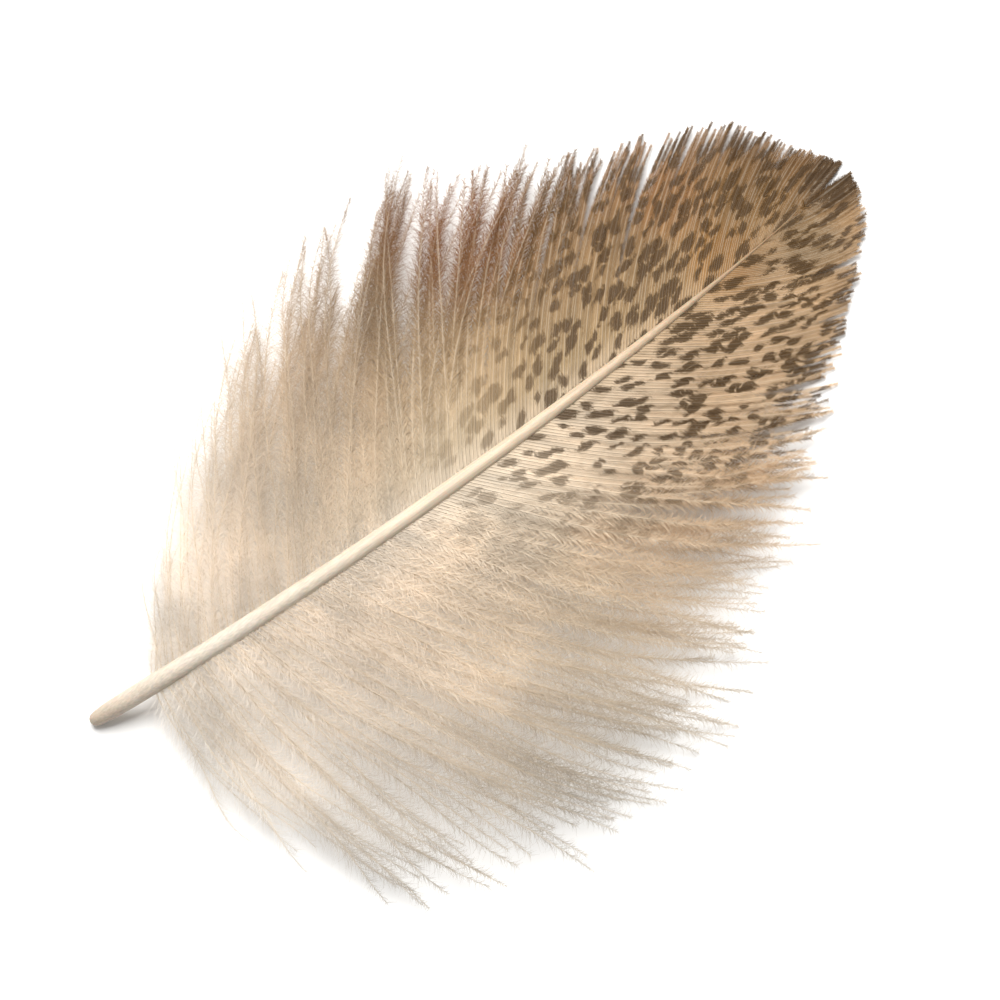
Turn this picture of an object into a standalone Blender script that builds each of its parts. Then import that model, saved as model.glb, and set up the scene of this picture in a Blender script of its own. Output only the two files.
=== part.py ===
"""A grey partridge hackle feather, lying front side up on a flat surface.

The feather grew as one piece, so it is one object: the bare quill runs on as a tapering shaft, and the
barbs grow from both sides of it. They hang together in locks. The locks of the lower half are loose down
with deep gaps between them, and those of the upper half close into a flat vane with a finely notched edge.

Frame: metres, +Z up, +X from the quill to the tip, the surface at Z = 0. Run it with
blender --background --python part.py, or from the text editor.
"""

import math
import random

import bmesh
import bpy
from mathutils import Vector

MM = 0.001

# Shaft. Shares run from 0 at the quill's end to 1 at the thin end.
SHAFT_LENGTH = 51.5 * MM
SHAFT_START_X = -27.35 * MM
SHAFT_START_Y = 3.75 * MM
SHAFT_BOW = 1.7 * MM            # how far the shaft bends sideways, towards -Y
SHAFT_ARCH = 5.8 * MM           # how far its middle stands over its ends
SHAFT_END_HEIGHT = 0.32 * MM
SHAFT_POINTS = 40
SHAFT_RADII = (                 # share of the length, radius
    (0.00, 0.30 * MM),
    (0.02, 0.50 * MM),
    (0.07, 0.62 * MM),
    (0.40, 0.48 * MM),
    (0.75, 0.34 * MM),
    (1.00, 0.26 * MM),
)

# Barbs: share of the shaft where one grows, its length, its slant from the shaft in degrees. The feather is
# fuller on its right near the quill, and on its left further up.
FIRST_BARB = 0.08
RIGHT_BARBS = (
    (0.08, 10.5 * MM, 80.0),
    (0.13, 19.0 * MM, 73.0),
    (0.22, 26.3 * MM, 57.0),
    (0.42, 22.8 * MM, 43.0),
    (0.70, 13.8 * MM, 31.0),
    (0.90, 7.8 * MM, 23.0),
    (1.00, 3.6 * MM, 5.0),
)
LEFT_BARBS = (
    (0.08, 6.5 * MM, 57.0),
    (0.14, 13.5 * MM, 58.0),
    (0.36, 22.5 * MM, 53.0),
    (0.60, 16.8 * MM, 44.0),
    (0.80, 12.2 * MM, 34.0),
    (0.90, 7.9 * MM, 26.0),
    (1.00, 3.6 * MM, 5.0),
)
BARB_TURN = math.radians(22)    # how far a barb turns towards the tip along its length

# Locks
LOCKS_A_SIDE = 26
STATIONS_A_LOCK = 4
BARB_STEPS = 8
DOWN_ENDS = 0.50                # the share where loose down turns into closed vane
CHANGE_SHARE = 0.20             # the share of the shaft that the change takes
DOWN_NOTCH = 0.24               # gap between two locks, as a share of the barb
VANE_NOTCH = 0.05
LOCK_FULLNESS = 1.6             # more than 1 gives each lock a broad full middle
BETWEEN_LOCKS = 0.45            # thickness between two locks, as a share of a lock's in its middle
SHORTEST_LOCK = 0.90            # the locks' lengths vary from this share to the whole
LOCK_SEED = 11

# Section
DOWN_THICKNESS = 1.3 * MM       # the most, a third of the way out
VANE_THICKNESS = 0.5 * MM
THICKNESS_SHARES = ((0.0, 0.55), (0.35, 1.0), (1.0, 0.35))      # reach along the barb, share of the most
RIM_TOUCHES = 3                 # on each side the edge stands off the surface this many times
RIM_LIFT = 2.4 * MM             # how far it stands off there
LEAST_LIFT = 0.6                # the locks' lifts vary from this share to the whole
DROOP = 1.7                     # how late a barb bends down, as a power

BEIGE = (0.54, 0.43, 0.31, 1.0)


def clear_scene():
    for old in list(bpy.data.objects):
        bpy.data.objects.remove(old, do_unlink=True)


def new_collection(name):
    collection = bpy.data.collections.new(name)
    bpy.context.scene.collection.children.link(collection)
    return collection


def through(stations, share, column=1):
    """The value in a column at a share, on a smooth line through stations that start with their share."""
    last = len(stations) - 1
    here = max(i for i in range(last) if i == 0 or stations[i][0] <= share)
    x0, x1 = stations[here][0], stations[here + 1][0]
    y0, y1 = stations[here][column], stations[here + 1][column]
    before, after = stations[max(here - 1, 0)], stations[min(here + 2, last)]
    slope0 = (y1 - before[column]) / (x1 - before[0])
    slope1 = (after[column] - y0) / (after[0] - x0)
    t, span = (share - x0) / (x1 - x0), x1 - x0
    return (
        (2 * t**3 - 3 * t**2 + 1) * y0
        + (t**3 - 2 * t**2 + t) * slope0 * span
        + (3 * t**2 - 2 * t**3) * y1
        + (t**3 - t**2) * slope1 * span
    )


def hump(share):
    """0 at both ends of the shaft and 1 at its middle."""
    return 4 * share * (1 - share)


def shaft_height(share):
    return SHAFT_END_HEIGHT + SHAFT_ARCH * hump(min(share, 1))


def shaft_point(share):
    return Vector((
        SHAFT_START_X + SHAFT_LENGTH * share,
        SHAFT_START_Y - SHAFT_BOW * hump(share),
        shaft_height(share),
    ))


def shaft_heading(share):
    """The way the shaft runs, seen from above, as an angle from +X."""
    return math.atan2(-4 * SHAFT_BOW * (1 - 2 * share), SHAFT_LENGTH)


def downiness(share):
    """1 in the loose down near the quill, 0 in the closed vane near the tip, and a smooth change between."""
    t = min(max((share - DOWN_ENDS) / CHANGE_SHARE + 0.5, 0), 1)
    return 1 - t * t * (3 - 2 * t)


def mixed(vane, down, share):
    return vane + (down - vane) * downiness(share)


def fullness(place):
    """0 between two locks and 1 in the middle of a lock, at a place along the shaft counted in locks."""
    return min(1, LOCK_FULLNESS * (1 - abs(2 * (place % 1) - 1)))


def thickness(share, full, reach):
    most = mixed(VANE_THICKNESS, DOWN_THICKNESS, share) * through(THICKNESS_SHARES, reach)
    return most * (BETWEEN_LOCKS + (1 - BETWEEN_LOCKS) * full)


def rim_height(share, lift):
    """How high the feather's edge lies. It comes down to the surface between the places where it is lifted."""
    return thickness(share, 1, 1) / 2 + lift * math.sin(RIM_TOUCHES * math.pi * share) ** 2 * (1 - share)


def barb_point(side, share, reach, full=1, long=1, lift=RIM_LIFT):
    """A point on the barb at a share of the shaft. side is 1 on the left, towards +Y, and -1 on the right."""
    barbs = LEFT_BARBS if side > 0 else RIGHT_BARBS
    notch = mixed(VANE_NOTCH, DOWN_NOTCH, share) * (1 - full)
    length = through(barbs, share, 1) * (1 - notch) * long
    start = math.radians(through(barbs, share, 2)) + BARB_TURN / 2
    turned = start - BARB_TURN * reach
    radius = length / BARB_TURN
    ahead = radius * (math.sin(start) - math.sin(turned))
    out = radius * (math.cos(turned) - math.cos(start))
    heading = shaft_heading(share)
    root = shaft_point(share)
    beside = shaft_height(share + ahead / SHAFT_LENGTH)
    fall = reach**DROOP
    return Vector((
        root.x + ahead * math.cos(heading) - side * out * math.sin(heading),
        root.y + ahead * math.sin(heading) + side * out * math.cos(heading),
        beside * (1 - fall) + rim_height(share, lift) * fall,
    ))


def make_shaft(collection, material):
    """The quill and shaft as one closed mesh: a tube whose thickness follows SHAFT_RADII."""
    curve = bpy.data.curves.new("shaft_line", "CURVE")
    curve.dimensions = "3D"
    curve.bevel_depth = 1.0
    curve.bevel_resolution = 2
    curve.use_fill_caps = True
    line = curve.splines.new("POLY")
    line.points.add(SHAFT_POINTS - 1)
    for i, point in enumerate(line.points):
        share = i / (SHAFT_POINTS - 1)
        point.co = (*shaft_point(share), 1)
        point.radius = through(SHAFT_RADII, share)
    tube = bpy.data.objects.new("shaft_line", curve)
    collection.objects.link(tube)
    graph = bpy.context.evaluated_depsgraph_get()
    mesh = bpy.data.meshes.new_from_object(tube.evaluated_get(graph))
    bpy.data.objects.remove(tube)
    bpy.data.curves.remove(curve)
    shaft = bmesh.new()
    shaft.from_mesh(mesh)
    bmesh.ops.remove_doubles(shaft, verts=shaft.verts, dist=0.001 * MM)
    bmesh.ops.recalc_face_normals(shaft, faces=shaft.faces)
    shaft.to_mesh(mesh)
    shaft.free()
    feather = bpy.data.objects.new("feather", mesh)
    feather.data.materials.clear()
    feather.data.materials.append(material)
    collection.objects.link(feather)
    return feather


def make_vane(collection, material):
    """Both sides' locks as one sheet: a flat grid whose rows become barbs, thickened by Solidify."""
    vary = random.Random(LOCK_SEED)
    locks = {
        (side, i): (vary.uniform(SHORTEST_LOCK, 1), RIM_LIFT * vary.uniform(LEAST_LIFT, 1))
        for side in (-1, 1)
        for i in range(LOCKS_A_SIDE + 1)
    }
    rows = LOCKS_A_SIDE * STATIONS_A_LOCK
    bpy.ops.mesh.primitive_grid_add(x_subdivisions=rows, y_subdivisions=2 * BARB_STEPS, size=2)
    vane = bpy.context.object
    vane.name = "vane_sheet"
    group = vane.vertex_groups.new(name="thickness")
    for vertex in vane.data.vertices:
        along, reach = (vertex.co.x + 1) / 2, abs(vertex.co.y)
        side = 1 if vertex.co.y > 0 else -1
        share = FIRST_BARB + (1 - FIRST_BARB) * along
        place = along * LOCKS_A_SIDE
        full = fullness(place)
        long, lift = locks[side, int(place)]
        vertex.co = barb_point(side, share, reach, full, long, lift)
        group.add([vertex.index], thickness(share, full, reach) / DOWN_THICKNESS, "REPLACE")
    vane.data.materials.append(material)
    solidify = vane.modifiers.new("thickness", "SOLIDIFY")
    solidify.thickness = DOWN_THICKNESS
    solidify.offset = 0
    solidify.vertex_group = group.name
    for old in list(vane.users_collection):
        old.objects.unlink(vane)
    collection.objects.link(vane)
    vane.hide_render = True
    vane.display_type = "WIRE"
    return vane


def feather_material():
    material = bpy.data.materials.new("feather")
    material.use_nodes = True
    shader = material.node_tree.nodes["Principled BSDF"]
    shader.inputs["Base Color"].default_value = BEIGE
    shader.inputs["Roughness"].default_value = 0.7
    shader.inputs["Metallic"].default_value = 0.0
    return material


def main():
    clear_scene()
    material = feather_material()
    feather = make_shaft(new_collection("partridge_hackle_feather"), material)
    vane = make_vane(new_collection("joined_shapes"), material)
    grown = feather.modifiers.new("grown together", "BOOLEAN")
    grown.operation = "UNION"
    grown.solver = "EXACT"
    grown.object = vane


main()
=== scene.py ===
# %% [markdown]
# # A partridge hackle feather, barb by barb
#
# A hackle is a small body feather. A bare quill runs on as a tapering shaft, and thin barbs grow from both
# sides of the shaft. Each barb carries two rows of still finer barbules. Near the quill the barbules are long
# and loose, which makes down. Further up they hook into the next barb, which closes the vane.
#
# We could paint all this on a flat sheet, but a feather is seen through as much as it is looked at: its edge
# is a fringe, its down is mostly air, and light comes through it. So we grow the real structure. Formulas lay
# out the barbs, and one Geometry Nodes tree dresses every barb with its barbules.

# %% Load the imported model, which is the frame for everything
import math

import bpy
import numpy as np
from mathutils import Matrix, Vector


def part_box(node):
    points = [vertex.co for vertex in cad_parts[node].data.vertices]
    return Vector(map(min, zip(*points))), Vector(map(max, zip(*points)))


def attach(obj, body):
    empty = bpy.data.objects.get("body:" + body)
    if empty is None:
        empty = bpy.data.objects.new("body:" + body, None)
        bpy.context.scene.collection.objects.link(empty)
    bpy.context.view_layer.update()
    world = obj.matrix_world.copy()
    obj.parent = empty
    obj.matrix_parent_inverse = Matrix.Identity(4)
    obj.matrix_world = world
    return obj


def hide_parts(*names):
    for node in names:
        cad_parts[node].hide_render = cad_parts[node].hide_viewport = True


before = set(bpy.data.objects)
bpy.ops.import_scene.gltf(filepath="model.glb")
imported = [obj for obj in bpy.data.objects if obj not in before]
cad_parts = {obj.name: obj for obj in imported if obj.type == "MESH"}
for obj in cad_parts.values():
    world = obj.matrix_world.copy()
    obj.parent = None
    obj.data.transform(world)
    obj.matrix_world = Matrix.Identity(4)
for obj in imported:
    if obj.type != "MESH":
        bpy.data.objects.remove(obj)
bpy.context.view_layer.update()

MM = 0.001
low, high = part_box("feather")
print("the feather's solid is", [round((b - a) / MM, 1) for a, b in zip(low, high)], "mm")

# %% [markdown]
# ## Two helpers
#
# Colours are written as sRGB hex values, the way a colour picker shows them. Blender's shaders count in
# linear light, so one function translates. The other adds a node to a tree. What it gets for an input is
# either a value, which it sets, or another node or one of its outputs, which it links. It serves the geometry
# as well as the materials, because both are trees of nodes. The kinds of node used most get short names.

# %% Helpers for colours and nodes
MATH = "ShaderNodeMath"
VECTOR = "ShaderNodeVectorMath"
SPLIT = "ShaderNodeSeparateXYZ"
JOIN = "ShaderNodeCombineXYZ"
MIX = "ShaderNodeMix"
NOISE = "ShaderNodeTexNoise"
REMAP = "ShaderNodeMapRange"
RAMP = "ShaderNodeValToRGB"
POSITION = "GeometryNodeInputPosition"
ATTRIBUTE = "GeometryNodeInputNamedAttribute"
STORE = "GeometryNodeStoreNamedAttribute"
MOVE = "GeometryNodeSetPosition"
RANDOM = "FunctionNodeRandomValue"


def linear(hex_colour):
    """The linear red, green, blue and alpha of an sRGB colour such as #C8B090."""
    parts = [int(hex_colour[i : i + 2], 16) / 255 for i in (1, 3, 5)]
    return (*[c / 12.92 if c <= 0.04045 else ((c + 0.055) / 1.055) ** 2.4 for c in parts], 1.0)


def add(tree, kind, inputs=None, **settings):
    """Adds a node. inputs maps a socket to a value to set, or to the node or output to link to it."""
    node = tree.nodes.new(kind)
    for name, value in settings.items():
        setattr(node, name, value)
    for name, value in (inputs or {}).items():
        if isinstance(value, bpy.types.Node):
            value = value.outputs[0]
        if isinstance(value, bpy.types.NodeSocket):
            tree.links.new(value, node.inputs[name])
        else:
            node.inputs[name].default_value = value
    return node


print("pure white is", linear("#FFFFFF"))

# %% [markdown]
# ## The camera
#
# The feather is seen as on a table top: from above, with the quill at the lower left and the tip at the upper
# right. A long lens far away keeps near and far parts the same size. We could turn the feather instead of the
# camera, but a part that lies along X is easier to measure and to use again, so the camera turns.

# %% A camera that looks down
VIEW_TURN = math.radians(36)  # the shaft climbs by this angle across the picture
VIEW_TILT = math.radians(6)   # how far the camera leans back from straight down
VIEW_DISTANCE = 300 * MM
VIEW_WIDTH = 58 * MM  # what the frame shows across, at the feather
middle = Vector((-0.6 * MM, 0, high[2] / 2))  # what the camera looks at

camera_data = bpy.data.cameras.new("camera")
camera_data.sensor_width = 36
camera_data.lens = camera_data.sensor_width * VIEW_DISTANCE / VIEW_WIDTH
camera_data.clip_start = 10 * MM
camera = bpy.data.objects.new("camera", camera_data)
bpy.context.scene.collection.objects.link(camera)
to_right = Vector((math.cos(VIEW_TURN), -math.sin(VIEW_TURN), 0))
ahead = Vector((math.sin(VIEW_TURN), math.cos(VIEW_TURN), 0))
backwards = Vector((0, 0, 1)) * math.cos(VIEW_TILT) - ahead * math.sin(VIEW_TILT)
upwards = backwards.cross(to_right)
turned = Matrix((to_right, upwards, backwards)).transposed().to_4x4()
camera.matrix_world = Matrix.Translation(middle + backwards * VIEW_DISTANCE) @ turned
bpy.context.scene.camera = camera
print("lens", round(camera_data.lens), "mm")

# %% [markdown]
# ## The floor and the light
#
# Down shows best on a light, even ground in soft light. A single lamp would give each barb a hard black
# shadow, so a large panel stands at the upper left, the size of a window to something this small, and a
# bright white room fills the rest. The view transform is Standard, so that white paper comes out white and
# the hex colours come out as they were chosen.

# %% A pale floor, a soft panel and a white room
FLOOR_SIZE = 1.2  # metres
PANEL_SIZE = 260 * MM
PANEL_HEIGHT = 300 * MM
PANEL_ASIDE = 200 * MM
PANEL_LEFT = 0.3  # how far left of straight ahead it stands, as a share of that
PANEL_POWER = 2.5
ROOM_LIGHT = 0.30

bpy.ops.mesh.primitive_plane_add(size=FLOOR_SIZE)
floor = bpy.context.object
floor.name = "floor"
paper = bpy.data.materials.new("matt_white_paper")
paper.use_nodes = True
paper_shader = paper.node_tree.nodes["Principled BSDF"]
paper_shader.inputs["Base Color"].default_value = linear("#F4F3F1")
paper_shader.inputs["Roughness"].default_value = 0.9
floor.data.materials.append(paper)

panel_data = bpy.data.lights.new("soft_panel", "AREA")
panel_data.size = PANEL_SIZE
panel_data.energy = PANEL_POWER
panel = bpy.data.objects.new("soft_panel", panel_data)
panel.location = (ahead - to_right * PANEL_LEFT).normalized() * PANEL_ASIDE + Vector((0, 0, PANEL_HEIGHT))
panel.rotation_euler = panel.location.to_track_quat("Z", "Y").to_euler()
bpy.context.scene.collection.objects.link(panel)

room = bpy.data.worlds.new("white_room")
room.use_nodes = True
room.node_tree.nodes["Background"].inputs["Color"].default_value = linear("#FFFFFF")
room.node_tree.nodes["Background"].inputs["Strength"].default_value = ROOM_LIGHT
bpy.context.scene.world = room
bpy.context.scene.view_settings.view_transform = "Standard"
print("panel at", [round(c / MM) for c in panel.location], "mm")

# %% [markdown]
# ## Where the shaft runs
#
# The feather is a shallow arch: the shaft rises in the middle and bends a little to one side. Two parabolas
# describe that. Everything else is placed from this line, so the functions take whole arrays of shares
# (0 at the quill's end, 1 at the thin end) and answer with arrays of points.

# %% The shaft's line
SHAFT_LENGTH = 51.5 * MM
SHAFT_START_X = low[0] + 0.12 * MM
SHAFT_START_Y = 3.75 * MM
SHAFT_BOW = 1.7 * MM   # how far the shaft bends sideways, towards -Y
SHAFT_ARCH = 5.8 * MM  # how far its middle stands over its ends
SHAFT_END_HEIGHT = 0.32 * MM


def hump(share):
    """0 at both ends of the shaft and 1 at its middle."""
    return 4 * share * (1 - share)


def shaft_height(share):
    return SHAFT_END_HEIGHT + SHAFT_ARCH * hump(np.minimum(share, 1))


def shaft_point(share):
    along = SHAFT_START_X + SHAFT_LENGTH * share
    return np.stack([along, SHAFT_START_Y - SHAFT_BOW * hump(share), shaft_height(share)], -1)


def shaft_heading(share):
    """The way the shaft runs, seen from above, as an angle from +X."""
    return np.arctan2(-4 * SHAFT_BOW * (1 - 2 * share), SHAFT_LENGTH)


print("the shaft's middle is at", (shaft_point(np.array(0.5)) / MM).round(1), "mm")

# %% [markdown]
# ## Where the barbs run
#
# Every place on the feather is named by three things: the side, the share of the shaft where the barb grows,
# and the reach along that barb (0 at the shaft, 1 at its tip). A barb leaves the shaft at a slant, turns a
# little towards the tip and bends down to the table. A few stations give each side's lengths and slants, and
# a smooth line runs through them. We could draw two hundred curves by hand, but a handful of stations keeps
# the outline easy to change, and two neighbours never disagree.

# %% The barbs' lengths and slants
FIRST_BARB = 0.08
BARBS = {  # share of the shaft, length, slant from the shaft in degrees
    "right": np.array((
        (0.08, 10.5 * MM, 80.0),
        (0.13, 19.0 * MM, 73.0),
        (0.22, 26.3 * MM, 57.0),
        (0.42, 22.8 * MM, 43.0),
        (0.70, 13.8 * MM, 31.0),
        (0.90, 7.8 * MM, 23.0),
        (1.00, 3.6 * MM, 5.0),
    )),
    "left": np.array((
        (0.08, 6.5 * MM, 57.0),
        (0.14, 13.5 * MM, 58.0),
        (0.36, 22.5 * MM, 53.0),
        (0.60, 16.8 * MM, 44.0),
        (0.80, 12.2 * MM, 34.0),
        (0.90, 7.9 * MM, 26.0),
        (1.00, 3.6 * MM, 5.0),
    )),
}
SIGN = {"right": -1, "left": 1}  # which way the side lies, along Y
BARB_TURN = math.radians(22)     # how far a barb turns towards the tip along its length
STRAIGHTER = 0.85                # how much of that turn the very last barbs lose
VERY_LAST = 0.93                 # the share from which they start to lose it
DROOP = 1.7                      # how late a barb bends down, as a power
RIM_TOUCHES = 3                  # on each side the edge stands off the table this many times
RIM_LIFT = 1.9 * MM              # how far it stands off there
RIM_CENTRE = 0.20 * MM           # height of a barb's tip where it touches


def through(stations, share, column=1):
    """The values of a column at these shares, on a smooth line through the stations."""
    x, y = stations[:, 0], stations[:, column]
    last = len(x) - 1
    before, after = np.maximum(np.arange(last + 1) - 1, 0), np.minimum(np.arange(last + 1) + 1, last)
    slope = (y[after] - y[before]) / (x[after] - x[before])
    here = np.clip(np.searchsorted(x, share, side="right") - 1, 0, last - 1)
    span = x[here + 1] - x[here]
    t = (share - x[here]) / span
    return (
        (2 * t**3 - 3 * t**2 + 1) * y[here]
        + (t**3 - 2 * t**2 + t) * slope[here] * span
        + (3 * t**2 - 2 * t**3) * y[here + 1]
        + (t**3 - t**2) * slope[here + 1] * span
    )


def soft_step(value, start, end):
    """0 before start, 1 after end, and a smooth change between."""
    t = np.clip((value - start) / (end - start), 0, 1)
    return t * t * (3 - 2 * t)


def barb_point(side, share, reach, extra_slant=0.0, longer=1.0):
    """Places on the barbs at these shares and reaches. The arguments are arrays of one shape, or numbers."""
    length = through(BARBS[side], share, 1) * longer
    turn = BARB_TURN * (1 - STRAIGHTER * soft_step(share, VERY_LAST, 1.0))
    start = np.radians(through(BARBS[side], share, 2)) + extra_slant + turn / 2
    turned = start - turn * reach
    radius = length / turn
    forward = radius * (np.sin(start) - np.sin(turned))
    out = radius * (np.cos(turned) - np.cos(start)) * SIGN[side]
    heading = shaft_heading(share)
    root = shaft_point(share)
    beside = shaft_height(share + forward / SHAFT_LENGTH)
    rim = RIM_CENTRE + RIM_LIFT * np.sin(RIM_TOUCHES * math.pi * share) ** 2 * (1 - share)
    fall = reach**DROOP
    return np.stack([
        root[..., 0] + forward * np.cos(heading) - out * np.sin(heading),
        root[..., 1] + forward * np.sin(heading) + out * np.cos(heading),
        beside * (1 - fall) + rim * fall,
    ], -1)


for side in BARBS:
    tips = barb_point(side, np.linspace(FIRST_BARB, 1, 200), np.ones(200))
    print(side, "barbs reach", round(float(np.abs(tips[:, 1]).max()) / MM, 1), "mm from the middle line")

# %% [markdown]
# ## From down to vane
#
# Nothing on a feather changes at a line. Near the shaft the vane closes early, while the outer ends of the
# same barbs are still fluffy. One function says how downy a place is, and everything that differs between
# down and vane is mixed with it: how long the barbules are, how far they splay, how much a barb strays.

# %% How downy a place is
STARTS_TO_CLOSE = (0.24, 0.16)  # a share of the shaft, and how much later that is at the barbs' tips
HAS_CLOSED = (0.50, 0.24)


def downiness(share, reach):
    """1 in loose down, 0 in closed vane. The barbs' outer ends stay downy for longer."""
    start, end = (place + later * reach for place, later in (STARTS_TO_CLOSE, HAS_CLOSED))
    return 1 - soft_step(share, start, end)


def mixed(vane, down, share, reach):
    return vane + (down - vane) * downiness(share, reach)


for reach in (0.0, 1.0):
    print("half way up, at reach", reach, "a place is", round(float(downiness(0.45, reach)), 2), "down")

# %% [markdown]
# ## Spacing the barbs
#
# Four or five barbs grow on each millimetre of the shaft, and more near its tip. Instead of stepping along it
# and hoping to end on the right spot, we add up how many barbs fit from the first place to each further one,
# round the total to a whole number, and read the places back from that sum.

# %% Where barbs grow
PITCH = np.array((  # share of the shaft, distance from one barb to the next
    (0.08, 0.19 * MM),
    (0.30, 0.21 * MM),
    (0.55, 0.25 * MM),
    (0.80, 0.23 * MM),
    (1.00, 0.11 * MM),
))
FINE_STEPS = 400  # how finely the spacing is added up


def barb_shares(first, last):
    """The shares between first and last where barbs grow, spaced as PITCH says."""
    fine = np.linspace(first, last, FINE_STEPS)
    passed = np.concatenate([[0], np.cumsum(np.diff(fine) * SHAFT_LENGTH / through(PITCH, fine[1:]))])
    count = round(passed[-1])
    return np.interp((np.arange(count) + 0.5) / count * passed[-1], passed, fine)


print("a side has", len(barb_shares(FIRST_BARB, 1)), "barbs")

# %% [markdown]
# ## Letting them stray
#
# Real barbs stray. In the vane they lie almost parallel, and here and there two have come unhooked, which
# opens a narrow split. In the down they gather in locks: they start evenly along the shaft and drift towards
# the lock's middle barb further out. They also sway, and some float above the rest. All of it is laid on the
# regular barbs as small changes, and a seeded random generator gives the same feather each time.

# %% Barb places, with their disorder
LOCKS_A_SIDE = 26
BARB_POINTS = 34  # points that a barb's line is drawn with
SPLITS = {  # share of the shaft where the vane has opened, and by how many degrees
    "right": ((0.475, 3.5), (0.640, 1.5), (0.845, 3.0)),
    "left": ((0.530, 2.0), (0.705, 3.0), (0.900, 2.5)),
}
SPLIT_REACH = 0.022       # a split's hold on the barbs beside it fades over this share
LEAST_HEIGHT = 0.12 * MM  # no barb's middle lies lower
LOCK_MIDDLE = 0.3         # how far a lock's middle barb is from its place, in locks
GATHER = (0.05, 0.30)     # how much barbs drift to it: everywhere, and in the down on top of that
GATHER_VARIES = 0.16      # by how much that differs between locks in the down
SLANT_STRAYS = (math.radians(0.7), math.radians(8.0))  # at the most, everywhere and in the down
LENGTH_STRAYS = (0.03, 0.04)  # the same, as a share of the length
SHORTER = 0.07       # how much shorter barbs are in the down
LOCK_VARIES = 0.03   # by how much the locks' lengths differ there
SWAY = (0.03, 0.75)  # at the most, everywhere and in the down, in millimetres
WAVES = (0.5, 1.1)   # how many waves a barb sways in
SWAY_SETS_IN = 1.4   # how late along a barb it drifts and sways, as a power
LOFT = (0.03, 0.70)  # how far barbs float above or below the rest, in millimetres
LOFT_MIDDLE = 0.15   # and how much more often above
LOFT_SETS_IN = 1.3   # how late along a barb it does, as a power
LOFT_FADES = 1.5     # how soon it ends where down turns into vane, as a power


def split_slant(side, share):
    """How far the splits turn the barbs at these shares, in radians."""
    turn = np.zeros_like(share)
    for place, degrees in SPLITS[side]:
        away = share - place
        turn -= math.radians(degrees) / 2 * np.sign(away) * np.exp(-np.abs(away) / SPLIT_REACH)
    return turn


def strayed_places(side, share, reach, vary):
    """The barbs' points. share and reach are arrays of one row a barb, vary is the random generator.

    What a lock's barbs share comes from a sine of the lock's number, which jumps about enough for that.
    """
    down = downiness(share, reach)
    loose = down[:, -1:]
    one_each = (len(share), 1)

    lock = (share - FIRST_BARB) / (1 - FIRST_BARB) * LOCKS_A_SIDE
    which = np.floor(lock)
    centre = which + 0.5 + LOCK_MIDDLE * np.sin(which * 2.4)
    gather = GATHER[0] + (GATHER[1] + GATHER_VARIES * np.sin(which * 1.7)) * down
    gather = gather * reach**SWAY_SETS_IN
    gathered = share + (centre - lock) / LOCKS_A_SIDE * (1 - FIRST_BARB) * gather

    stray = vary.uniform(-1, 1, one_each) * (SLANT_STRAYS[0] + SLANT_STRAYS[1] * down)
    by_chance = vary.uniform(-1, 1, one_each) * (LENGTH_STRAYS[0] + LENGTH_STRAYS[1] * loose)
    longer = 1 - SHORTER * loose + by_chance + LOCK_VARIES * loose * np.sin(which * 3.1)
    places = barb_point(side, gathered, reach, stray + split_slant(side, share), longer)

    wave = np.sin(2 * math.pi * (vary.uniform(*WAVES, one_each) * reach + vary.uniform(0, 1, one_each)))
    sway = wave * reach**SWAY_SETS_IN * (SWAY[0] + SWAY[1] * down) * MM
    heading = shaft_heading(share)
    places[..., 0] += sway * np.cos(heading)
    places[..., 1] += sway * np.sin(heading)
    loft = vary.normal(LOFT_MIDDLE, 1, one_each) * (LOFT[0] + LOFT[1] * down**LOFT_FADES) * MM
    places[..., 2] = np.maximum(places[..., 2] + loft * reach**LOFT_SETS_IN, LEAST_HEIGHT)
    return places


print(len(SPLITS["right"]) + len(SPLITS["left"]), "splits in the vane")

# %% [markdown]
# ## Handing the barbs to Geometry Nodes
#
# A tree can only work with what its mesh carries. So each barb becomes a row of joined points, and each point
# carries named numbers: how thick the stem is there, how long and wide its barbules are, how far they splay,
# and which way is up from the feather's surface. A modifier could work these out itself, but they are plain
# formulas, and Python writes formulas more legibly than fifty nodes do.

# %% Barb lines as a mesh of edges that carries what the barbules need
STEM_RADIUS = (0.042, 0.034)  # millimetres, in the vane and in the down, as are the next two
BARBULE_LENGTH = (0.46, 1.60)
BARBULE_WIDTH = (0.058, 0.019)
SPLAY = (0.06, 0.75)    # how widely the barbules lean and tilt by chance, in the vane and in the down
DOWN_SHORTENS = 0.6     # millimetres that down barbules lose along their barb
STEM_TIP = 0.28         # a barb's stem thins to this share of its first thickness
FULL_FROM = 0.05        # the reach from which barbules have their full length
SHORTEN = (0.70, 0.60)  # the reach from which they get shorter, and how much by the barb's tip
THIN = (0.80, 0.45)     # the share of the shaft from which stems get thinner, and how much
NUDGE = 0.004           # a small step in share or reach, to measure the surface's slope


def surface_up(side, share, reach):
    """The feather's own upward direction at these places."""
    out_way = barb_point(side, share, np.minimum(reach + NUDGE, 1))
    out_way = out_way - barb_point(side, share, np.maximum(reach - NUDGE, 0))
    up_way = barb_point(side, share + NUDGE, reach) - barb_point(side, share - NUDGE, reach)
    normal = np.cross(out_way, up_way)
    return normal * np.sign(normal[..., 2:]) / np.linalg.norm(normal, axis=-1, keepdims=True)


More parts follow.
